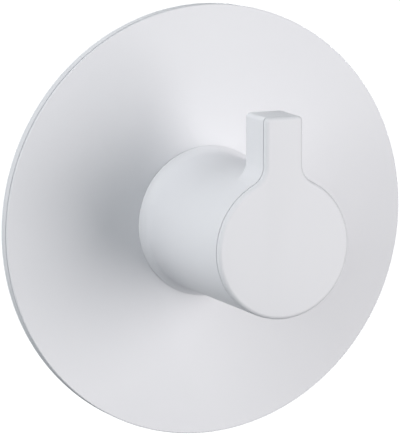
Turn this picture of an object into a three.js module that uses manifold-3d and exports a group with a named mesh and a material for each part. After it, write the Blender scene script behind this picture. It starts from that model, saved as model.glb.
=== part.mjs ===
// Twist-lock suction wall hook, in millimetres, +Z up.
// The wall is the plane y = 0 and the hook's axis runs through the origin.
// The room lies towards -Y, so every "out" value is a distance from the wall along -Y.
// Angles are counted anticlockwise from +X, as seen from the room.
// The hook is drawn locked: tab up, stud drawn out, middle of the cup lifted off the wall.

import * as THREE from 'three';
import { mergeVertices } from 'three/addons/utils/BufferGeometryUtils.js';
import Module from 'manifold-3d';

const wasm = await Module();
wasm.setup();

// Clearances
const seatGap = 0.15; // between faces that rest on each other
const fitGap = 0.2; // between pieces that fit into each other and don't turn
const runGap = 0.3; // between pieces that turn or slide past each other

// Cover disc
const discRadius = 42.5;
const discLift = 0.4; // the cup's lip keeps the disc's rim this far off the wall
const rimHeight = 2.5;
const rimWall = 2.2;
const rimRound = 0.4; // front edge
const rimChamfer = 0.3; // rear edge
const plateWall = 1.4;
const ribWidth = 1.2;
const ribCount = 3; // concentric ribs that press the sealing ring against the wall
const hubWall = 1.35;
const hubRoof = 1.2;
const hubMouthFlare = 2.6;
const guideWall = 2.35;
const guideCrown = 1.2; // guide tube above the locked pin
const edgeBreak = 0.4;

// Suction cup
const cupSheet = 0.9;
const cupLip = 0.4; // rounding of the lip
const cupFlat = 19.5; // width of the flat sealing ring
const bossFloor = 1.0;
const bossLip = 1.2;
const bossSide = 2.4; // room between boss and hub for the sheet to rise in
const bossHeadroom = 0.5;

// Lock
const lockTravel = 2.2; // how far the cup's middle is drawn off the wall
const lockTurn = 90; // degrees from locked to free
const shaftRadius = 4.0;
const flangeThickness = 1.4;
const studNose = 0.5;
const pinRadius = 1.5;
const pinEndGap = 1.45; // pin end to knob wall
const pinChamfer = 0.3;
const washerThickness = 0.8;
const camBase = 1.6;
const camStopRise = 2.0; // stops above the high land
const camStopDraft = 3; // degrees
const keyWidth = 2.4;
const keyDepth = 1.1;
const keyAngle = 45; // degrees, in the middle of the cam's stops

// Knob
const knobReach = 33.6; // head face in front of the disc
const headRadius = 13.65;
const knobWall = 2.0;
const knobFloor = 1.8;
const footRadius = 14.8;
const footBand = 0.3;
const footCove = 1.6; // height of the sweep from the foot to the stem
const tabWidth = 7.8;
const tabTop = 24.9; // above the axis
const tabDepth = 8.8;
const tabWall = 1.7;
const tabCorner = 0.9;
const neckFillet = 3.8; // where the tab grows out of the round head

// Front cap
const capJoint = 0.4; // open joint line between the stem and the cap's edge
const capEdge = 1.0; // from the joint line to the face
const capPlate = 1.8; // within the bore
const capRound = 0.8;
const capSkirtWall = 1.2;
const capSkirtDepth = 3.0;

// Smoothness
const roundSides = 64;
const pinSides = 24;
const filletSteps = 5;
const cornerSteps = 3;
const edgeSteps = 4;
const camStep = 7.5; // degrees

// Places from the wall outwards
const discFront = discLift + rimHeight;
const plateRear = discFront - plateWall;
const flangeRear = lockTravel + bossFloor + fitGap;
const flangeFront = flangeRear + flangeThickness;
const bossFront = flangeFront + fitGap + bossLip;
const hubCeiling = bossFront + bossHeadroom;
const hubTop = hubCeiling + hubRoof;
const washerRear = hubTop + seatGap;
const floorRear = washerRear + washerThickness + seatGap;
const floorFront = floorRear + knobFloor;
const camRear = floorFront + seatGap;
const camLow = camRear + camBase;
const camHigh = camLow + lockTravel;
const camStopTop = camHigh + camStopRise;
const pinOut = camHigh + seatGap + pinRadius;
const guideTop = pinOut + pinRadius + guideCrown;
const slotRear = pinOut - lockTravel - pinRadius - runGap;
const studTop = guideTop + studNose;
const footRear = discFront + runGap;
const headFront = discFront + knobReach;
const capRear = headFront - capEdge;
const seatFront = capRear - capJoint;
const tabRear = headFront - tabDepth;

// Places from the axis outwards
const guideBore = shaftRadius + runGap;
const guideRadius = guideBore + guideWall;
const camInner = guideRadius + runGap;
const knobBore = headRadius - knobWall;
const camOuter = knobBore - fitGap;
const hubRadius = knobBore - runGap;
const hubBore = hubRadius - hubWall;
const hubMouth = hubBore + hubMouthFlare;
const bossRadius = hubBore - bossSide;
const flangeRadius = (shaftRadius + bossRadius) / 2;
const pinReach = knobBore - pinEndGap;
const skirtBore = discRadius - rimWall;
const cupRadius = skirtBore - runGap;
const cupFlatInner = cupRadius - cupFlat;
const tabHalf = tabWidth / 2;
const pocketHalf = tabHalf - tabWall;
const pocketBottom = headRadius + knobWall / 2;
const pocketTop = tabTop - tabWall;
const pocketRear = tabRear + tabWall;
const keyInner = knobBore - keyDepth;

// Points of a round or elliptic arc, from one angle to another in degrees
function arc(centre, radius, from, to, steps, rise = radius) {
  const points = [];
  for (let i = 0; i <= steps; i += 1) {
    const angle = THREE.MathUtils.degToRad(from + ((to - from) * i) / steps);
    points.push([centre[0] + radius * Math.cos(angle), centre[1] + rise * Math.sin(angle)]);
  }
  return points;
}

// Closed mesh to solid, without the empty triangles that a lathe leaves on its axis
function solid(geometry) {
  geometry.deleteAttribute('normal');
  geometry.deleteAttribute('uv');
  const merged = mergeVertices(geometry);
  const corners = merged.index.array;
  const triangles = [];
  for (let i = 0; i < corners.length; i += 3) {
    const [a, b, c] = corners.slice(i, i + 3);
    if (a !== b && b !== c && c !== a) triangles.push(a, b, c);
  }
  return new wasm.Manifold(
    new wasm.Mesh({
      numProp: 3,
      vertProperties: new Float32Array(merged.attributes.position.array),
      triVerts: new Uint32Array(triangles),
    }),
  );
}

// Closed profile of [radius, out] points, turned about the hook's axis
function revolve(profile, sides = roundSides) {
  const points = profile.map(([radius, out]) => new THREE.Vector2(radius, -out));
  if (THREE.ShapeUtils.area(points) < 0) points.reverse();
  points.push(points[0].clone());
  return solid(new THREE.LatheGeometry(points, sides));
}

// Rows of points joined in order by quads, facing out
function meshOfRows(rows, closedRows, endFaces = []) {
  const count = rows[0].length;
  const positions = rows.flat(2);
  const index = [...endFaces];
  const rowSteps = closedRows ? rows.length : rows.length - 1;
  for (let k = 0; k < rowSteps; k += 1) {
    const next = (k + 1) % rows.length;
    for (let i = 0; i < count; i += 1) {
      const j = (i + 1) % count;
      const a = k * count + i;
      const b = k * count + j;
      const c = next * count + j;
      const d = next * count + i;
      index.push(a, b, c, a, c, d);
    }
  }
  const geometry = new THREE.BufferGeometry();
  geometry.setAttribute('position', new THREE.Float32BufferAttribute(positions, 3));
  geometry.setIndex(index);
  return geometry;
}

// Outlines of [x, z] points, anticlockwise from the room, stacked from the wall outwards
function loft(layers) {
  const rows = layers.map(({ outline, out }) => outline.map(([x, z]) => [x, -out, z]));
  const flat = (layer) => layer.outline.map(([x, z]) => new THREE.Vector2(x, z));
  const last = (layers.length - 1) * rows[0].length;
  const rear = THREE.ShapeUtils.triangulateShape(flat(layers[0]), []);
  const front = THREE.ShapeUtils.triangulateShape(flat(layers.at(-1)), []);
  const endFaces = [
    ...rear.flatMap(([a, b, c]) => [c, b, a]),
    ...front.flatMap(([a, b, c]) => [a + last, b + last, c + last]),
  ];
  return solid(meshOfRows(rows, false, endFaces));
}

// Block between two corners, turned about the hook's axis
function block(x, out, z, turn = 0) {
  const box = new THREE.BoxGeometry(x[1] - x[0], out[1] - out[0], z[1] - z[0]);
  box.translate((x[0] + x[1]) / 2, -(out[0] + out[1]) / 2, (z[0] + z[1]) / 2);
  box.rotateY(-THREE.MathUtils.degToRad(turn));
  return solid(box);
}

// Round bar along X at the pin's place
function pinBar(profile) {
  const points = profile.map(([radius, along]) => new THREE.Vector2(radius, along));
  const bar = new THREE.LatheGeometry(points, pinSides);
  bar.rotateZ(-Math.PI / 2);
  bar.translate(0, -pinOut, 0);
  return solid(bar);
}

// Outline of the tab and its two neck fillets, from right to left, drawn in by an inset
function tabArch(inset) {
  const half = tabHalf - inset;
  const radius = headRadius - inset;
  const fillet = neckFillet + inset;
  const corner = tabCorner - inset;
  const top = tabTop - inset;
  const neck = Math.sqrt((radius + fillet) ** 2 - (half + fillet) ** 2);
  const lean = THREE.MathUtils.radToDeg(Math.atan2(neck, half + fillet));
  const points = [
    ...arc([half + fillet, neck], fillet, 180 + lean, 180, filletSteps),
    ...arc([half - corner, top - corner], corner, 0, 90, cornerSteps),
    ...arc([corner - half, top - corner], corner, 90, 180, cornerSteps),
    ...arc([-half - fillet, neck], fillet, 0, -lean, filletSteps),
  ];
  return { points, radius, lean };
}

// Outline of the whole head: tab and round
function headOutline(inset) {
  const { points, radius, lean } = tabArch(inset);
  const span = 180 + 2 * lean;
  const steps = Math.round((span / 360) * roundSides);
  const round = arc([0, 0], radius, 180 - lean, 360 + lean, steps);
  return [...points, ...round.slice(1, -1)];
}

// Cover disc: plate, rim skirt, pressing ribs, hub and guide tube in one moulding
function coverDisc() {
  const ribRear = cupSheet + seatGap;
  const ribPitch = cupFlat / ribCount;
  const ribs = [];
  for (let i = 0; i < ribCount; i += 1) {
    const middle = cupFlatInner + ribPitch / 2 + ribPitch * i;
    const inner = middle - ribWidth / 2;
    const outer = middle + ribWidth / 2;
    ribs.push([inner, plateRear], [inner, ribRear], [outer, ribRear], [outer, plateRear]);
  }
  const disc = revolve([
    [guideBore, hubCeiling],
    [hubBore, hubCeiling],
    [hubBore, plateRear + plateWall],
    [hubMouth, plateRear],
    ...ribs,
    [skirtBore, plateRear],
    [skirtBore, discLift],
    [discRadius - rimChamfer, discLift],
    [discRadius, discLift + rimChamfer],
    ...arc([discRadius - rimRound, discFront - rimRound], rimRound, 0, 90, edgeSteps),
    [hubRadius, discFront],
    [hubRadius, hubTop - edgeBreak],
    [hubRadius - edgeBreak, hubTop],
    [guideRadius, hubTop],
    [guideRadius, guideTop - edgeBreak],
    [guideRadius - edgeBreak, guideTop],
    [guideBore, guideTop],
  ]);
  const slotHalf = pinRadius + fitGap;
  const slotReach = guideRadius + runGap;
  const slotOut = [slotRear, guideTop + runGap];
  const slots = block([-slotReach, slotReach], slotOut, [-slotHalf, slotHalf]);
  return disc.subtract(slots);
}

// Suction cup: flat sealing ring, lifted middle and the boss that grips the stud's flange
function suctionCup() {
  const foot = hubMouth - runGap;
  const footLift = plateRear - runGap - cupSheet;
  const throat = shaftRadius + fitGap;
  const pocket = flangeRadius + fitGap;
  return revolve([
    [0, lockTravel],
    [bossRadius + cupLip, lockTravel],
    [foot, footLift],
    [cupFlatInner, 0],
    [cupRadius - cupLip, 0],
    ...arc([cupRadius - cupLip, cupSheet - cupLip], cupLip, 0, 90, cornerSteps),
    [cupFlatInner, cupSheet],
    [foot, footLift + cupSheet],
    [bossRadius, lockTravel + bossFloor],
    [bossRadius, bossFront - cupLip],
    [bossRadius - cupLip, bossFront],
    [throat, bossFront],
    [throat, flangeFront + fitGap],
    [pocket, flangeFront + fitGap],
    [pocket, flangeRear - fitGap],
    [0, flangeRear - fitGap],
  ]);
}

// Pull stud: flange, shaft and the hole for the cross pin
function pullStud() {
  const stud = revolve([
    [0, flangeRear],
    [flangeRadius, flangeRear],
    [flangeRadius, flangeFront],
    [shaftRadius, flangeFront],
    [shaftRadius, studTop - edgeBreak],
    [shaftRadius - edgeBreak, studTop],
    [0, studTop],
  ]);
  const holeRadius = pinRadius + seatGap;
  const holeReach = shaftRadius + runGap;
  const hole = pinBar([
    [0, -holeReach],
    [holeRadius, -holeReach],
    [holeRadius, holeReach],
    [0, holeReach],
  ]);
  return stud.subtract(hole);
}

// Cross pin: chamfered dowel
function crossPin() {
  return pinBar([
    [0, -pinReach],
    [pinRadius - pinChamfer, -pinReach],
    [pinRadius, pinChamfer - pinReach],
    [pinRadius, pinReach - pinChamfer],
    [pinRadius - pinChamfer, pinReach],
    [0, pinReach],
  ]);
}

// Thrust washer: flat ring on the hub's roof
function thrustWasher() {
  const washerFront = washerRear + washerThickness;
  return revolve([
    [camInner, washerRear],
    [camOuter, washerRear],
    [camOuter, washerFront],
    [camInner, washerFront],
  ]);
}

// Cam ring: for each end of the pin a high land, a helical ramp, a low land and a stop
function camRing() {
  const land = THREE.MathUtils.radToDeg(Math.asin((pinRadius + runGap) / camInner));
  const stopFrom = lockTurn + land;
  const stopTo = 180 - land;
  const stretches = [
    [-land, 0, camHigh, camHigh],
    [0, lockTurn, camHigh, camLow],
    [lockTurn, stopFrom, camLow, camLow],
    [stopFrom, stopFrom + camStopDraft, camLow, camStopTop],
    [stopFrom + camStopDraft, stopTo - camStopDraft, camStopTop, camStopTop],
    [stopTo - camStopDraft, stopTo, camStopTop, camHigh],
  ];
  const sections = [];
  for (const half of [0, 180]) {
    for (const [from, to, start, end] of stretches) {
      const steps = Math.ceil((to - from) / camStep);
      for (let i = 0; i < steps; i += 1) {
        const turn = THREE.MathUtils.degToRad(half + from + ((to - from) * i) / steps);
        const top = start + ((end - start) * i) / steps;
        const corner = (radius, out) => [radius * Math.cos(turn), -out, -radius * Math.sin(turn)];
        sections.push([
          corner(camInner, camRear),
          corner(camOuter, camRear),
          corner(camOuter, top),
          corner(camInner, top),
        ]);
      }
    }
  }
  const ring = solid(meshOfRows(sections, true));
  const slotX = [keyInner - fitGap, knobBore];
  const slotOut = [camRear - seatGap, camStopTop + seatGap];
  const slotZ = [-keyWidth / 2 - fitGap, keyWidth / 2 + fitGap];
  const slots = [keyAngle, keyAngle + 180].map((turn) => block(slotX, slotOut, slotZ, turn));
  return slots.reduce((cut, slot) => cut.subtract(slot), ring);
}

// Knob body: hollow stem with a swept foot, a floor that carries the cam, keys and the tab's body
function knobBody() {
  const coveFront = footRear + footBand + footCove;
  const stem = revolve([
    [0, footRear],
    [footRadius, footRear],
    ...arc([footRadius, coveFront], footRadius - headRadius, 270, 180, edgeSteps, footCove),
    [headRadius, seatFront],
    [0, seatFront],
  ]);
  const { points, radius, lean } = tabArch(0);
  const rooted = arc([0, 0], radius - knobWall / 2, 180 - lean, lean, filletSteps);
  const outline = [...points, ...rooted];
  const tab = loft([
    { outline, out: tabRear },
    { outline, out: seatFront },
  ]);
  const hollow = revolve([
    [0, footRear - runGap],
    [knobBore, footRear - runGap],
    [knobBore, floorRear],
    [camInner, floorRear],
    [camInner, floorFront],
    [knobBore, floorFront],
    [knobBore, seatFront + runGap],
    [0, seatFront + runGap],
  ]);
  const pocketX = [-pocketHalf, pocketHalf];
  const pocket = block(pocketX, [pocketRear, seatFront + runGap], [pocketBottom, pocketTop]);
  const keyX = [keyInner, knobBore + knobWall / 2];
  const keyOut = [floorFront - knobFloor / 2, camStopTop];
  const keyZ = [-keyWidth / 2, keyWidth / 2];
  const keys = [keyAngle, keyAngle + 180].map((turn) => block(keyX, keyOut, keyZ, turn));
  const shell = stem.add(tab).subtract(hollow).subtract(pocket);
  return keys.reduce((joined, key) => joined.add(key), shell);
}

// Front cap: rounded face of the head and tab, a plug in the bore and a rib in the tab's pocket
function frontCap() {
  const layers = [{ outline: headOutline(0), out: capRear }];
  for (const [inset, rise] of arc([0, 0], capRound, 0, 90, edgeSteps)) {
    layers.push({ outline: headOutline(capRound - inset), out: headFront - capRound + rise });
  }
  const face = loft(layers);
  const skirtRadius = knobBore - fitGap;
  const skirtRear = capRear - capSkirtDepth;
  const plateRoot = headFront - capPlate;
  const plugFront = capRear + capEdge / 2;
  const plug = revolve([
    [0, plateRoot],
    [skirtRadius - capSkirtWall, plateRoot],
    [skirtRadius - capSkirtWall, skirtRear],
    [skirtRadius - edgeBreak, skirtRear],
    [skirtRadius, skirtRear + edgeBreak],
    [skirtRadius, plugFront],
    [0, plugFront],
  ]);
  const ribHalf = pocketHalf - fitGap;
  const ribZ = [pocketBottom + fitGap, pocketTop - fitGap];
  const rib = block([-ribHalf, ribHalf], [skirtRear, plugFront], ribZ);
  return face.add(plug).add(rib);
}

const moulded = new THREE.MeshStandardMaterial({ color: 0xe2e3e6, roughness: 0.5, metalness: 0 });
const softWhite = new THREE.MeshStandardMaterial({ color: 0xd9dad8, roughness: 0.65, metalness: 0 });
const acetal = new THREE.MeshStandardMaterial({ color: 0xf0efe9, roughness: 0.35, metalness: 0 });
const steel = new THREE.MeshStandardMaterial({ color: 0xb9bcbf, roughness: 0.3, metalness: 1 });

const hook = new THREE.Group();

function place(name, piece, material) {
  const { numProp, vertProperties, triVerts } = piece.getMesh();
  const geometry = new THREE.BufferGeometry();
  geometry.setAttribute('position', new THREE.BufferAttribute(vertProperties, numProp));
  geometry.setIndex(new THREE.BufferAttribute(triVerts, 1));
  geometry.computeVertexNormals();
  const mesh = new THREE.Mesh(geometry, material);
  mesh.name = name;
  hook.add(mesh);
}

place('cover_disc', coverDisc(), moulded);
place('suction_cup', suctionCup(), softWhite);
place('pull_stud', pullStud(), acetal);
place('cross_pin', crossPin(), steel);
place('thrust_washer', thrustWasher(), acetal);
place('cam_ring', camRing(), acetal);
place('knob_body', knobBody(), moulded);
place('front_cap', frontCap(), moulded);

export default hook;
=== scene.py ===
import math
import bmesh
import bpy
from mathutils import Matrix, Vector


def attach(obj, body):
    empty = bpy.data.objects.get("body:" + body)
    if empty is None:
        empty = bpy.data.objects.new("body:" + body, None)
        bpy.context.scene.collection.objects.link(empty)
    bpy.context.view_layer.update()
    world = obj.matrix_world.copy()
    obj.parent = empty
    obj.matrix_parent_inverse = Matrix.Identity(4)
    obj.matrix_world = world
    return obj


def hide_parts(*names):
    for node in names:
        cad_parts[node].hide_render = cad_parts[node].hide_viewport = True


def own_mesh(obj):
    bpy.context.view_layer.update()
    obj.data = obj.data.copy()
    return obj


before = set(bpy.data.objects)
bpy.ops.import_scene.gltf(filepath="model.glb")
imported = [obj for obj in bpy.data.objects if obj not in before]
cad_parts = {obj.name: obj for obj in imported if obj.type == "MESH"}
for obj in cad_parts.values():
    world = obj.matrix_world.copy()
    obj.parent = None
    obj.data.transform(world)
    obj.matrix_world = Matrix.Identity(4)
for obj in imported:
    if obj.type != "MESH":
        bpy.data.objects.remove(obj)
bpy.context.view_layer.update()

# Wall hook with a twist lock. Lengths are in mm and turned to metres where a point is drawn.
# "out" is the distance from the wall, which is the plane y = 0; the room lies towards -Y.
mm = 0.001
print("frame loaded,", len(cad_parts), "solids")


# drawing helpers

drawing = {
    "weld": 0.0005,     # mm, points nearer than this are merged
    "onFace": 0.01,     # mm, a point this near a flat face belongs to it
    "smoothAngle": 32,  # degrees, sharper edges stay crisp
}


def arc(centre, radius, start, stop, steps, rise=None):
    # points of a round or elliptic arc, angles in degrees
    points = []
    for i in range(steps + 1):
        turn = math.radians(start + (stop - start) * i / steps)
        points.append((centre[0] + radius * math.cos(turn), centre[1] + (rise or radius) * math.sin(turn)))
    return points


def drawLoop(name, points):
    # a plane is shrunk to one point, which is extruded from place to place and closed
    bpy.ops.object.select_all(action="DESELECT")
    bpy.ops.mesh.primitive_plane_add(size=mm)
    piece = bpy.context.object
    piece.name = piece.data.name = name
    bpy.ops.object.mode_set(mode="EDIT")
    bpy.ops.mesh.select_mode(type="VERT")
    bpy.ops.mesh.merge(type="CENTER")
    bpy.ops.mesh.select_all(action="SELECT")
    place = Vector(points[0]) * mm
    bpy.ops.transform.translate(value=place)
    for point in points[1:]:
        step = Vector(point) * mm - place
        bpy.ops.mesh.extrude_vertices_move(TRANSFORM_OT_translate={"value": step})
        place = place + step
    bpy.ops.mesh.select_all(action="SELECT")
    bpy.ops.mesh.edge_face_add()
    return piece


def closeMesh():
    # doubles go first, then the faces are turned outwards
    bpy.ops.mesh.select_all(action="SELECT")
    bpy.ops.mesh.remove_doubles(threshold=drawing["weld"] * mm)
    bpy.ops.mesh.normals_make_consistent(inside=False)
    bpy.ops.object.mode_set(mode="OBJECT")


def spinProfile(name, profile, steps):
    # closed profile of (radius, out) points, spun about the hook's axis
    piece = drawLoop(name, [(radius, -out, 0) for radius, out in profile])
    bpy.ops.mesh.delete(type="ONLY_FACE")
    bpy.ops.mesh.select_all(action="SELECT")
    bpy.ops.mesh.spin(steps=steps, angle=2 * math.pi, center=(0, 0, 0), axis=(0, 1, 0))
    closeMesh()
    return piece


def pullOut(name, outline, rear, front):
    # outline of (x, z) points, filled and extruded from rear to front
    piece = drawLoop(name, [(x, -rear, z) for x, z in outline])
    bpy.ops.mesh.extrude_region_move(TRANSFORM_OT_translate={"value": (0, (rear - front) * mm, 0)})
    closeMesh()
    return piece


def block(name, x, out, z, turn=0):
    # cube scaled between two corners, then turned about the hook's axis
    bpy.ops.object.select_all(action="DESELECT")
    bpy.ops.mesh.primitive_cube_add(size=mm)
    piece = bpy.context.object
    piece.name = name
    middle = Vector((sum(x) / 2, -sum(out) / 2, sum(z) / 2)) * mm
    bpy.ops.object.mode_set(mode="EDIT")
    bpy.ops.transform.resize(value=(x[1] - x[0], out[1] - out[0], z[1] - z[0]))
    bpy.ops.transform.translate(value=middle)
    bpy.ops.object.mode_set(mode="OBJECT")
    piece.rotation_euler = (0, -math.radians(turn), 0)
    bpy.ops.object.transform_apply(location=False, rotation=True, scale=False)
    return piece


def pickEdges(piece, test):
    # edit mode with only the edges selected that pass the test, by their two ends in mm
    bpy.ops.object.select_all(action="DESELECT")
    piece.select_set(True)
    bpy.context.view_layer.objects.active = piece
    bpy.ops.object.mode_set(mode="EDIT")
    bpy.ops.mesh.select_mode(type="EDGE")
    bpy.ops.mesh.select_all(action="DESELECT")
    mesh = bmesh.from_edit_mesh(piece.data)
    for edge in mesh.edges:
        edge.select_set(all(test(end.co / mm) for end in edge.verts))
    bmesh.update_edit_mesh(piece.data)


def softenEdges(piece, test, width, segments):
    pickEdges(piece, test)
    bpy.ops.mesh.bevel(offset=width * mm, segments=segments, profile=0.5, clamp_overlap=True)
    bpy.ops.object.mode_set(mode="OBJECT")


def combine(piece, tool, operation):
    # the tool is joined to the piece or cut from it, then removed
    bpy.ops.object.select_all(action="DESELECT")
    bpy.context.view_layer.objects.active = piece
    piece.select_set(True)
    bpy.ops.object.modifier_add(type="BOOLEAN")
    cut = piece.modifiers[-1]
    cut.operation = operation
    cut.solver = "EXACT"
    cut.object = tool
    bpy.ops.object.modifier_apply(modifier=cut.name)
    bpy.data.objects.remove(tool)


def finishPiece(piece, body, slot, material, *nodes):
    bpy.ops.object.select_all(action="DESELECT")
    bpy.context.view_layer.objects.active = piece
    piece.select_set(True)
    bpy.ops.object.shade_smooth_by_angle(angle=math.radians(drawing["smoothAngle"]))
    piece.data.materials.clear()
    piece.data.materials.append(material)
    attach(piece, body)
    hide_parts(*nodes)
    print(piece.name, "done,", len(piece.data.polygons), "faces")


# materials

wavePeriod = 0.314  # metres from crest to crest of a wave texture at scale 1
mixFirst = 6        # places of a Mix node's colour sockets: two inputs and the output
mixSecond = 7
mixResult = 2


def hexToLinear(text):
    # hex colour to linear red, green, blue and alpha, by the sRGB curve
    values = [int(text[i:i + 2], 16) / 255 for i in (1, 3, 5)]
    return [v / 12.92 if v <= 0.04045 else ((v + 0.055) / 1.055) ** 2.4 for v in values] + [1]


def addNode(tree, kind, settings=None, links=None):
    # one node, its settings by property or socket name, its links as socket: (node, output)
    node = tree.nodes.new(kind)
    for key, value in (settings or {}).items():
        if hasattr(node, key):
            setattr(node, key, value)
        else:
            node.inputs[key].default_value = value
    for socket, (source, output) in (links or {}).items():
        tree.links.new(source.outputs[output], node.inputs[socket])
    return node


def newMaterial(name):
    material = bpy.data.materials.new(name)
    material.use_nodes = True
    material.node_tree.nodes.clear()
    return material, material.node_tree


# White ABS, injection moulded in a spark-eroded tool: an even, matt, slightly cool white.
# The eye sees a soft broad highlight, faint cloudiness, and a fine pebble texture close up.
absLook = {
    "white": "#E4E5E8",
    "cloud": "#E0E1E5",
    "cloudSize": 26,       # mm, flow of the plastic in the mould
    "cloudDetail": 3,
    "cloudRoughness": 0.5,
    "pebble": 0.35,        # mm, real texture is about 0.05; drawn coarser so that it shows
    "pebbleBlend": 0.6,    # how far the pebbles run into each other
    "pebbleDepth": 0.012,  # mm
    "pebbleStrength": 0.35,
    "roughness": (0.46, 0.54),
    "ior": 1.53,
}


def mouldedAbs():
    look = absLook
    material, tree = newMaterial("white ABS, spark-eroded mould texture")
    place = addNode(tree, "ShaderNodeTexCoord")
    cloud = addNode(tree, "ShaderNodeTexNoise",
                    {"Scale": 1 / (look["cloudSize"] * mm), "Detail": look["cloudDetail"],
                     "Roughness": look["cloudRoughness"]},
                    {"Vector": (place, "Object")})
    tint = addNode(tree, "ShaderNodeMix", {"data_type": "RGBA"}, {"Factor": (cloud, "Fac")})
    tint.inputs[mixFirst].default_value = hexToLinear(look["white"])
    tint.inputs[mixSecond].default_value = hexToLinear(look["cloud"])
    pebble = addNode(tree, "ShaderNodeTexVoronoi",
                     {"Scale": 1 / (look["pebble"] * mm), "feature": "SMOOTH_F1",
                      "Smoothness": look["pebbleBlend"]},
                     {"Vector": (place, "Object")})
    sheen = addNode(tree, "ShaderNodeMapRange",
                    {"To Min": look["roughness"][0], "To Max": look["roughness"][1]},
                    {"Value": (pebble, "Distance")})
    bump = addNode(tree, "ShaderNodeBump",
                   {"Strength": look["pebbleStrength"], "Distance": look["pebbleDepth"] * mm},
                   {"Height": (pebble, "Distance")})
    shader = addNode(tree, "ShaderNodeBsdfPrincipled", {"IOR": look["ior"]},
                     {"Base Color": (tint, mixResult), "Roughness": (sheen, "Result"),
                      "Normal": (bump, "Normal")})
    addNode(tree, "ShaderNodeOutputMaterial", None, {"Surface": (shader, "BSDF")})
    return material


# Soft white TPE, moulded in a polished tool: waxy and a little translucent, with fine flow rings.
tpeLook = {
    "white": "#DEDFDC",
    "shade": "#D2D4D1",
    "ringPitch": 1.6,   # mm between flow rings
    "ringDepth": 0.02,  # mm
    "ringStrength": 0.3,
    "ringWobble": 0.6,
    "ringDetail": 1,
    "ringDetailScale": 0.2,
    "bloomSize": 9,     # mm, faint cloudiness
    "bloomDetail": 4,
    "roughness": (0.34, 0.5),
    "ior": 1.5,
    "glow": 0.15,                   # share of the light that scatters inside
    "glowDepth": 1.5,               # mm, times the reach of each colour
    "glowReach": (0.8, 0.8, 0.75),  # red, green and blue
}


def softTpe():
    look = tpeLook
    material, tree = newMaterial("soft white TPE, moulded smooth")
    place = addNode(tree, "ShaderNodeTexCoord")
    rings = addNode(tree, "ShaderNodeTexWave",
                    {"wave_type": "RINGS", "rings_direction": "Y",
                     "Scale": wavePeriod / (look["ringPitch"] * mm), "Distortion": look["ringWobble"],
                     "Detail": look["ringDetail"], "Detail Scale": look["ringDetailScale"]},
                    {"Vector": (place, "Object")})
    bloom = addNode(tree, "ShaderNodeTexNoise",
                    {"Scale": 1 / (look["bloomSize"] * mm), "Detail": look["bloomDetail"]},
                    {"Vector": (place, "Object")})
    tint = addNode(tree, "ShaderNodeMix", {"data_type": "RGBA"}, {"Factor": (bloom, "Fac")})
    tint.inputs[mixFirst].default_value = hexToLinear(look["white"])
    tint.inputs[mixSecond].default_value = hexToLinear(look["shade"])
    gloss = addNode(tree, "ShaderNodeMapRange",
                    {"To Min": look["roughness"][0], "To Max": look["roughness"][1]},
                    {"Value": (bloom, "Fac")})
    bump = addNode(tree, "ShaderNodeBump",
                   {"Strength": look["ringStrength"], "Distance": look["ringDepth"] * mm},
                   {"Height": (rings, "Fac")})
    shader = addNode(tree, "ShaderNodeBsdfPrincipled",
                     {"IOR": look["ior"], "Subsurface Weight": look["glow"],
                      "Subsurface Scale": look["glowDepth"] * mm, "Subsurface Radius": look["glowReach"]},
                     {"Base Color": (tint, mixResult), "Roughness": (gloss, "Result"),
                      "Normal": (bump, "Normal")})
    addNode(tree, "ShaderNodeOutputMaterial", None, {"Surface": (shader, "BSDF")})
    return material


# Natural acetal, moulded in a turned tool: creamy, slippery and satin, with faint tool rings.
acetalLook = {
    "cream": "#F2F0E8",
    "shade": "#E9E6DC",
    "grain": 5,          # mm, faint cloudiness
    "grainDetail": 4,
    "toolPitch": 0.5,    # mm, drawn coarser than the real 0.1 so that it shows
    "toolDepth": 0.01,   # mm
    "toolStrength": 0.15,
    "roughness": (0.28, 0.4),
    "ior": 1.48,
}


def naturalAcetal():
    look = acetalLook
    material, tree = newMaterial("natural acetal, moulded satin")
    place = addNode(tree, "ShaderNodeTexCoord")
    cloud = addNode(tree, "ShaderNodeTexNoise",
                    {"Scale": 1 / (look["grain"] * mm), "Detail": look["grainDetail"]},
                    {"Vector": (place, "Object")})
    tint = addNode(tree, "ShaderNodeMix", {"data_type": "RGBA"}, {"Factor": (cloud, "Fac")})
    tint.inputs[mixFirst].default_value = hexToLinear(look["cream"])
    tint.inputs[mixSecond].default_value = hexToLinear(look["shade"])
    gloss = addNode(tree, "ShaderNodeMapRange",
                    {"To Min": look["roughness"][0], "To Max": look["roughness"][1]},
                    {"Value": (cloud, "Fac")})
    turned = addNode(tree, "ShaderNodeTexWave",
                     {"wave_type": "RINGS", "rings_direction": "Y",
                      "Scale": wavePeriod / (look["toolPitch"] * mm)},
                     {"Vector": (place, "Object")})
    bump = addNode(tree, "ShaderNodeBump",
                   {"Strength": look["toolStrength"], "Distance": look["toolDepth"] * mm},
                   {"Height": (turned, "Fac")})
    shader = addNode(tree, "ShaderNodeBsdfPrincipled", {"IOR": look["ior"]},
                     {"Base Color": (tint, mixResult), "Roughness": (gloss, "Result"),
                      "Normal": (bump, "Normal")})
    addNode(tree, "ShaderNodeOutputMaterial", None, {"Surface": (shader, "BSDF")})
    return material


# Stainless steel dowel, centreless ground: grey metal with fine rings round the bar.
steelLook = {
    "metal": "#C4C5C7",
    "scratch": "#B2B4B6",
    "grindPitch": 0.25,   # mm, drawn coarser than the real 0.02 so that it shows
    "grindDepth": 0.004,  # mm
    "grindStrength": 0.2,
    "grindWobble": 3,
    "grindDetail": 3,
    "grindDetailScale": 2,
    "roughness": (0.24, 0.38),
}


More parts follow.
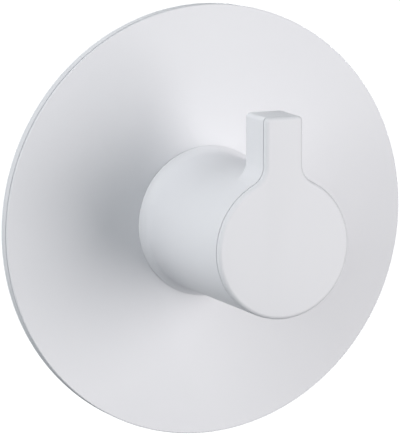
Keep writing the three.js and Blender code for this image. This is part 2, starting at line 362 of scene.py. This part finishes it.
def groundSteel():
    look = steelLook
    material, tree = newMaterial("stainless steel, ground")
    place = addNode(tree, "ShaderNodeTexCoord")
    grind = addNode(tree, "ShaderNodeTexWave",
                    {"bands_direction": "X", "Scale": wavePeriod / (look["grindPitch"] * mm),
                     "Distortion": look["grindWobble"], "Detail": look["grindDetail"],
                     "Detail Scale": look["grindDetailScale"]},
                    {"Vector": (place, "Object")})
    tint = addNode(tree, "ShaderNodeMix", {"data_type": "RGBA"}, {"Factor": (grind, "Fac")})
    tint.inputs[mixFirst].default_value = hexToLinear(look["metal"])
    tint.inputs[mixSecond].default_value = hexToLinear(look["scratch"])
    gloss = addNode(tree, "ShaderNodeMapRange",
                    {"To Min": look["roughness"][0], "To Max": look["roughness"][1]},
                    {"Value": (grind, "Fac")})
    bump = addNode(tree, "ShaderNodeBump",
                   {"Strength": look["grindStrength"], "Distance": look["grindDepth"] * mm},
                   {"Height": (grind, "Fac")})
    shader = addNode(tree, "ShaderNodeBsdfPrincipled", {"Metallic": 1},
                     {"Base Color": (tint, mixResult), "Roughness": (gloss, "Result"),
                      "Normal": (bump, "Normal")})
    addNode(tree, "ShaderNodeOutputMaterial", None, {"Surface": (shader, "BSDF")})
    return material


whiteAbs = mouldedAbs()
whiteTpe = softTpe()
creamAcetal = naturalAcetal()
pinSteel = groundSteel()
print("materials ready")


# cover disc: flat plate with a rounded rim, hub and guide tube

coverDisc = {
    "radius": 42.5, "lift": 0.2, "front": 2.9, "skirtBore": 40.3, "plateRear": 1.5,
    "rimRound": 0.2, "rimSteps": 8, "rearRound": 0.2, "rearSteps": 4,
    "holdLine": 0.08,  # distance of a support edge from a round, which keeps the shading on the round
    "lineOut": 2.5, "lineWidth": 0.4, "lineDepth": 0.6,  # fine shadow line round the rim
    "ribMiddles": (23.75, 30.25, 36.75), "ribWidth": 1.2, "ribRear": 1.05,
    "hubMouth": 12.6, "hubBore": 10.0, "hubCeiling": 6.7, "hubRadius": 11.35, "hubTop": 7.9,
    "guideBore": 4.3, "guideRadius": 6.65, "guideTop": 19.1, "edgeBreak": 0.4,
    "slotHalf": 1.7, "slotRear": 12.4, "spinSteps": 192,
    "cutSpare": 0.5,  # how far a cutting block reaches past what it cuts
}


def makeCoverDisc():
    d = coverDisc
    ribs = []
    for middle in d["ribMiddles"]:
        inner, outer = middle - d["ribWidth"] / 2, middle + d["ribWidth"] / 2
        ribs += [(inner, d["plateRear"]), (inner, d["ribRear"])]
        ribs += [(outer, d["ribRear"]), (outer, d["plateRear"])]
    lineFloor = d["radius"] - d["lineDepth"]
    lineRear, lineFront = d["lineOut"] - d["lineWidth"] / 2, d["lineOut"] + d["lineWidth"] / 2
    rimCentre = (d["radius"] - d["rimRound"], d["front"] - d["rimRound"])
    rearCentre = (d["radius"] - d["rearRound"], d["lift"] + d["rearRound"])
    profile = [
        (d["guideBore"], d["hubCeiling"]),
        (d["hubBore"], d["hubCeiling"]),
        (d["hubBore"], d["front"]),
        (d["hubMouth"], d["plateRear"]),
        *ribs,
        (d["skirtBore"], d["plateRear"]),
        (d["skirtBore"], d["lift"]),
        (rearCentre[0] - d["holdLine"], d["lift"]),
        *arc(rearCentre, d["rearRound"], 270, 360, d["rearSteps"]),
        (d["radius"], rearCentre[1] + d["holdLine"]),
        (d["radius"], lineRear),
        (lineFloor, lineRear),
        (lineFloor, lineFront),
        (d["radius"], lineFront),
        *arc(rimCentre, d["rimRound"], 0, 90, d["rimSteps"]),
        (rimCentre[0] - d["holdLine"], d["front"]),
        (d["hubRadius"], d["front"]),
        (d["hubRadius"], d["hubTop"] - d["edgeBreak"]),
        (d["hubRadius"] - d["edgeBreak"], d["hubTop"]),
        (d["guideRadius"], d["hubTop"]),
        (d["guideRadius"], d["guideTop"] - d["edgeBreak"]),
        (d["guideRadius"] - d["edgeBreak"], d["guideTop"]),
        (d["guideBore"], d["guideTop"]),
    ]
    disc = spinProfile("coverDisc", profile, d["spinSteps"])
    reach = d["guideRadius"] + d["cutSpare"]
    slotOut = (d["slotRear"], d["guideTop"] + d["cutSpare"])
    slot = block("pinSlot", (-reach, reach), slotOut, (-d["slotHalf"], d["slotHalf"]))
    combine(disc, slot, "DIFFERENCE")
    finishPiece(disc, "wall_base", "moulded_abs", whiteAbs, "cover_disc")


makeCoverDisc()


# knob: hollow stem with a swept foot, and the tab's body

knobBody = {
    "radius": 13.65, "bore": 11.65, "footRear": 2.97, "footRadius": 14.8, "footBand": 0.3,
    "footSweep": 2.7,  # radius of the sweep from the foot into the stem
    "seatFront": 35.2, "seatSpare": 0.8, "floorRear": 9.0, "floorFront": 10.8, "floorHole": 6.95,
    "tabHalf": 3.9, "tabTop": 24.9, "tabRear": 27.7, "tabCorner": 0.9, "neckFillet": 3.8,
    "tabSoft": 0.35, "tabRoot": 1,  # how deep the tab's root lies in the stem
    "pocketHalf": 2.2, "pocketRear": 29.4, "pocketFoot": 14.65, "pocketTop": 23.2,
    "cutSpare": 0.5,  # how far a cutting block reaches past what it cuts
    "keyInner": 10.55, "keyFront": 16.75, "keyHalf": 1.2, "keyAngles": (45, 225),
    "keyRoot": 1, "keySink": 0.9,  # how deep a key lies in the stem's wall and floor
    "roundSteps": 8, "cornerSteps": 6, "softSteps": 4, "spinSteps": 128,
}


def tabArch(inset):
    # tab and its two neck fillets from right to left, with the angle where they leave the round head
    k = knobBody
    half, radius = k["tabHalf"] - inset, k["radius"] - inset
    fillet, corner, top = k["neckFillet"] + inset, k["tabCorner"] - inset, k["tabTop"] - inset
    neck = math.sqrt((radius + fillet) ** 2 - (half + fillet) ** 2)
    lean = math.degrees(math.atan2(neck, half + fillet))
    points = [
        *arc((half + fillet, neck), fillet, 180 + lean, 180, k["roundSteps"]),
        *arc((half - corner, top - corner), corner, 0, 90, k["cornerSteps"]),
        *arc((corner - half, top - corner), corner, 90, 180, k["cornerSteps"]),
        *arc((-half - fillet, neck), fillet, 0, -lean, k["roundSteps"]),
    ]
    return points, lean


def makeKnobBody():
    k = knobBody
    sweep = k["footSweep"]
    sweepLean = math.degrees(math.acos(1 - (k["footRadius"] - k["radius"]) / sweep))
    sweepFront = k["footRear"] + k["footBand"] + sweep * math.sin(math.radians(sweepLean))
    stem = spinProfile("knobBody", [
        (k["bore"], k["footRear"]),
        (k["footRadius"], k["footRear"]),
        *arc((k["radius"] + sweep, sweepFront), sweep, 180 + sweepLean, 180, k["roundSteps"]),
        (k["radius"], k["seatFront"] + k["seatSpare"]),
        (k["bore"], k["seatFront"] + k["seatSpare"]),
        (k["bore"], k["floorFront"]),
        (k["floorHole"], k["floorFront"]),
        (k["floorHole"], k["floorRear"]),
        (k["bore"], k["floorRear"]),
    ], k["spinSteps"])
    points, lean = tabArch(0)
    root = arc((0, 0), k["radius"] - k["tabRoot"], 180 - lean, lean, k["roundSteps"])
    tab = pullOut("tabBlank", points + root, k["tabRear"], k["seatFront"] + 2 * k["seatSpare"])
    softenEdges(tab, lambda p: abs(p.y + k["tabRear"]) < drawing["onFace"], k["tabSoft"], k["softSteps"])
    combine(stem, tab, "UNION")
    # stem and tab are left long and faced off together, so that the cap's seat is one flat face
    reach = 2 * k["tabTop"]
    facingOut = (k["seatFront"], k["seatFront"] + 3 * k["seatSpare"])
    facing = block("facing", (-reach, reach), facingOut, (-reach, reach))
    combine(stem, facing, "DIFFERENCE")
    pocketOut = (k["pocketRear"], k["seatFront"] + k["cutSpare"])
    pocket = block("tabPocket", (-k["pocketHalf"], k["pocketHalf"]), pocketOut,
                   (k["pocketFoot"], k["pocketTop"]))
    combine(stem, pocket, "DIFFERENCE")
    keyOut = (k["floorFront"] - k["keySink"], k["keyFront"])
    for angle in k["keyAngles"]:
        key = block("camKey", (k["keyInner"], k["bore"] + k["keyRoot"]), keyOut,
                    (-k["keyHalf"], k["keyHalf"]), angle)
        combine(stem, key, "UNION")
    finishPiece(stem, "knob", "moulded_abs", whiteAbs, "knob_body")


makeKnobBody()


# front cap: the face of head and tab, with a rounded edge and a plug that holds it in the bore

frontCap = {
    "rear": 35.5, "front": 36.5, "edgeRound": 0.8, "roundSteps": 7, "headSteps": 96,
    "shoulderRear": 35.25, "shoulderInset": 0.3,  # floor of the shadow line between cap and stem
    "plugRadius": 11.45, "plugWall": 1.2, "plugRear": 32.5, "plateRear": 34.7, "edgeBreak": 0.4,
    "ribHalf": 2.0, "ribFoot": 14.85, "ribTop": 23.0, "plugSteps": 96,
    "sink": 0.3,  # how deep shoulder, plug and rib lie in the cap
}


def headOutline(inset):
    # tab and round head, drawn in by the inset
    points, lean = tabArch(inset)
    rest = arc((0, 0), knobBody["radius"] - inset, 180 - lean, 360 + lean, frontCap["headSteps"])
    return points + rest[1:-1]


def makeFrontCap():
    c = frontCap
    cap = pullOut("frontCap", headOutline(0), c["rear"], c["front"])
    softenEdges(cap, lambda p: abs(p.y + c["front"]) < drawing["onFace"], c["edgeRound"], c["roundSteps"])
    rootFront = c["rear"] + c["sink"]
    shoulder = pullOut("capShoulder", headOutline(c["shoulderInset"]), c["shoulderRear"], rootFront)
    combine(cap, shoulder, "UNION")
    plugInner = c["plugRadius"] - c["plugWall"]
    plug = spinProfile("capPlug", [
        (0, c["plateRear"]),
        (plugInner, c["plateRear"]),
        (plugInner, c["plugRear"]),
        (c["plugRadius"] - c["edgeBreak"], c["plugRear"]),
        (c["plugRadius"], c["plugRear"] + c["edgeBreak"]),
        (c["plugRadius"], rootFront),
        (0, rootFront),
    ], c["plugSteps"])
    combine(cap, plug, "UNION")
    ribOut = (c["plugRear"], rootFront)
    rib = block("capRib", (-c["ribHalf"], c["ribHalf"]), ribOut, (c["ribFoot"], c["ribTop"]))
    combine(cap, rib, "UNION")
    finishPiece(cap, "knob", "moulded_abs", whiteAbs, "front_cap")


makeFrontCap()


# suction cup: sealing ring on the wall, sloped sheet, and the boss that goes with the stud

suctionCup = {
    "radius": 40.0, "sheet": 0.9, "lip": 0.4, "flatInner": 20.5,
    "grooves": (26, 31.5, 37), "grooveDepth": 0.15, "grooveWidth": 0.7,
    "foot": 12.3, "footLift": 0.3, "lift": 2.2, "keep": 0.12,
    "joint": 0.03,  # gap on both sides of the sheet
    "bossRadius": 7.6, "bossEdge": 8.0, "bossFloor": 1.0, "bossFront": 6.2,
    "edgeDrop": 0.15,  # how far the floor's front falls at the boss's edge
    "throat": 4.2, "pocket": 6.0, "pocketRear": 3.2, "pocketFront": 5.0,
    "grooveSteps": 6, "lipSteps": 6, "bossSteps": 4, "spinSteps": 160,
}


def makeSuctionCup():
    s = suctionCup
    grooves = []
    half = s["grooveWidth"] / 2
    for middle in s["grooves"]:
        bow = arc((middle, 0), half, 180, 0, s["grooveSteps"], s["grooveDepth"])
        grooves += [(middle - half, 0), *bow[1:-1], (middle + half, 0)]
    ring = spinProfile("cupRing", [
        (s["flatInner"], 0),
        *grooves,
        (s["radius"] - s["lip"], 0),
        *arc((s["radius"] - s["lip"], s["sheet"] - s["lip"]), s["lip"], 0, 90, s["lipSteps"]),
        (s["flatInner"], s["sheet"]),
    ], s["spinSteps"])
    finishPiece(ring, "wall_base", "soft_tpe", whiteTpe, "suction_cup")
    inner, outer = s["bossEdge"] + s["joint"], s["flatInner"] - s["joint"]
    edgeFront = s["lift"] + s["bossFloor"] - s["edgeDrop"]
    sheet = spinProfile("cupSheet", [
        (inner, s["lift"]),
        (s["foot"], s["footLift"]),
        (outer, 0),
        (outer, s["sheet"]),
        (s["foot"], s["footLift"] + s["sheet"]),
        (inner, edgeFront),
    ], s["spinSteps"])
    finishPiece(sheet, "wall_base", "soft_tpe", whiteTpe, "suction_cup")
    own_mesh(sheet)
    boss = spinProfile("cupBoss", [
        (0, s["lift"]),
        (s["bossEdge"], s["lift"]),
        (s["bossEdge"], edgeFront),
        (s["bossRadius"], s["lift"] + s["bossFloor"]),
        (s["bossRadius"], s["bossFront"] - s["lip"]),
        *arc((s["bossRadius"] - s["lip"], s["bossFront"] - s["lip"]), s["lip"], 0, 90, s["bossSteps"])[1:],
        (s["throat"], s["bossFront"]),
        (s["throat"], s["pocketFront"]),
        (s["pocket"], s["pocketFront"]),
        (s["pocket"], s["pocketRear"]),
        (0, s["pocketRear"]),
    ], s["spinSteps"])
    finishPiece(boss, "stud", "soft_tpe", whiteTpe, "suction_cup")


makeSuctionCup()


# the lock's inner pieces keep their solids and get their finish

innerFinish = {
    "pull_stud": creamAcetal,
    "thrust_washer": creamAcetal,
    "cam_ring": creamAcetal,
    "cross_pin": pinSteel,
}
for node, material in innerFinish.items():
    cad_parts[node].data.materials.clear()
    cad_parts[node].data.materials.append(material)
print("inner pieces finished")


# floor, light and camera

studio = {
    "floorDrop": 1200, "floorSize": 24000, "floorWhite": "#FFFFFF", "floorGlow": 1.05, "floorRoughness": 0.9,
    "skyTint": "#DCF3FF", "skyStrength": 0.106, "skyGlow": 1.7,
    # softboxes: turn right of the hook's face, rise, distance, width, power in watts, colour
    "softboxes": {
        "keyRight": (38, 0, 1300, 1200, 14.1, "#FFFBFA"),
        "fillUpperLeft": (-70, 45, 450, 300, 0.95, "#FFFFFF"),
        "fillLeft": (-60, 10, 450, 300, 0.61, "#FFFFFF"),
        "edgeLeft": (-110, -25, 450, 300, 0.47, "#FFFFFF"),
        "topBehind": (180, 50, 450, 300, 0.57, "#FFFFFF"),
        "fillUnder": (30, -30, 700, 600, 0.4, "#FFF6F6"),
        "backLight": (145, 0, 900, 300, 4.2, "#FFFFFF"),
    },
    "cameraTurn": -25.45, "cameraRise": 9.97, "cameraDistance": 753.5, "cameraLens": 318.84,
    "aimOut": 2.9, "aimRight": -1.435, "aimUp": 0.576, "clipNear": 10, "clipFar": 100000,
}


def awayFrom(turn, rise):
    # unit vector from the hook, turned right of its face and raised, in degrees
    turn, rise = math.radians(turn), math.radians(rise)
    return Vector((math.sin(turn) * math.cos(rise), -math.cos(turn) * math.cos(rise), math.sin(rise)))


def makeFloor():
    s = studio
    bpy.ops.object.select_all(action="DESELECT")
    bpy.ops.mesh.primitive_plane_add(size=s["floorSize"] * mm, location=(0, 0, -s["floorDrop"] * mm))
    floor = bpy.context.object
    floor.name = "floor"
    material, tree = newMaterial("pale floor")
    white = hexToLinear(s["floorWhite"])
    shader = addNode(tree, "ShaderNodeBsdfPrincipled",
                     {"Base Color": white, "Roughness": s["floorRoughness"], "Emission Color": white,
                      "Emission Strength": s["floorGlow"]})
    addNode(tree, "ShaderNodeOutputMaterial", None, {"Surface": (shader, "BSDF")})
    floor.data.materials.append(material)
    # the floor is bright to the eye but throws no light and no shade on the hook
    floor.visible_diffuse = floor.visible_glossy = floor.visible_shadow = False
    material.cycles.emission_sampling = "NONE"


def makeSoftbox(name, turn, rise, distance, size, power, colour):
    towards = awayFrom(turn, rise)
    bpy.ops.object.light_add(type="AREA", location=towards * distance * mm)
    lamp = bpy.context.object
    lamp.name = name
    lamp.rotation_mode = "QUATERNION"
    lamp.rotation_quaternion = (-towards).to_track_quat("-Z", "Y")
    lamp.data.shape = "DISK"
    lamp.data.size = size * mm
    lamp.data.energy = power
    lamp.data.color = hexToLinear(colour)[:3]


def makeLight():
    s = studio
    world = bpy.data.worlds.new("studio")
    bpy.context.scene.world = world
    world.use_nodes = True
    sky = world.node_tree.nodes["Background"]
    sky.inputs["Color"].default_value = hexToLinear(s["skyTint"])
    # the lens sees a sky that is burnt out to white, and the hook is lit by a dim cool one
    ray = addNode(world.node_tree, "ShaderNodeLightPath")
    level = addNode(world.node_tree, "ShaderNodeMapRange",
                    {"To Min": s["skyStrength"], "To Max": s["skyGlow"]}, {"Value": (ray, "Is Camera Ray")})
    world.node_tree.links.new(level.outputs["Result"], sky.inputs["Strength"])
    for name, box in s["softboxes"].items():
        makeSoftbox(name, *box)
    bpy.context.scene.view_settings.view_transform = "Standard"


def makeCamera():
    s = studio
    back = awayFrom(s["cameraTurn"], s["cameraRise"])
    right = Vector((math.cos(math.radians(s["cameraTurn"])), math.sin(math.radians(s["cameraTurn"])), 0))
    up = back.cross(right)
    aim = Vector((0, -s["aimOut"], 0)) + right * s["aimRight"] + up * s["aimUp"]
    bpy.ops.object.camera_add(location=(aim + back * s["cameraDistance"]) * mm)
    camera = bpy.context.object
    camera.name = "camera"
    camera.rotation_mode = "QUATERNION"
    camera.rotation_quaternion = (-back).to_track_quat("-Z", "Y")
    camera.data.lens = s["cameraLens"]
    camera.data.clip_start = s["clipNear"] * mm
    camera.data.clip_end = s["clipFar"] * mm
    bpy.context.scene.camera = camera


makeFloor()
makeLight()
makeCamera()
print("studio ready")
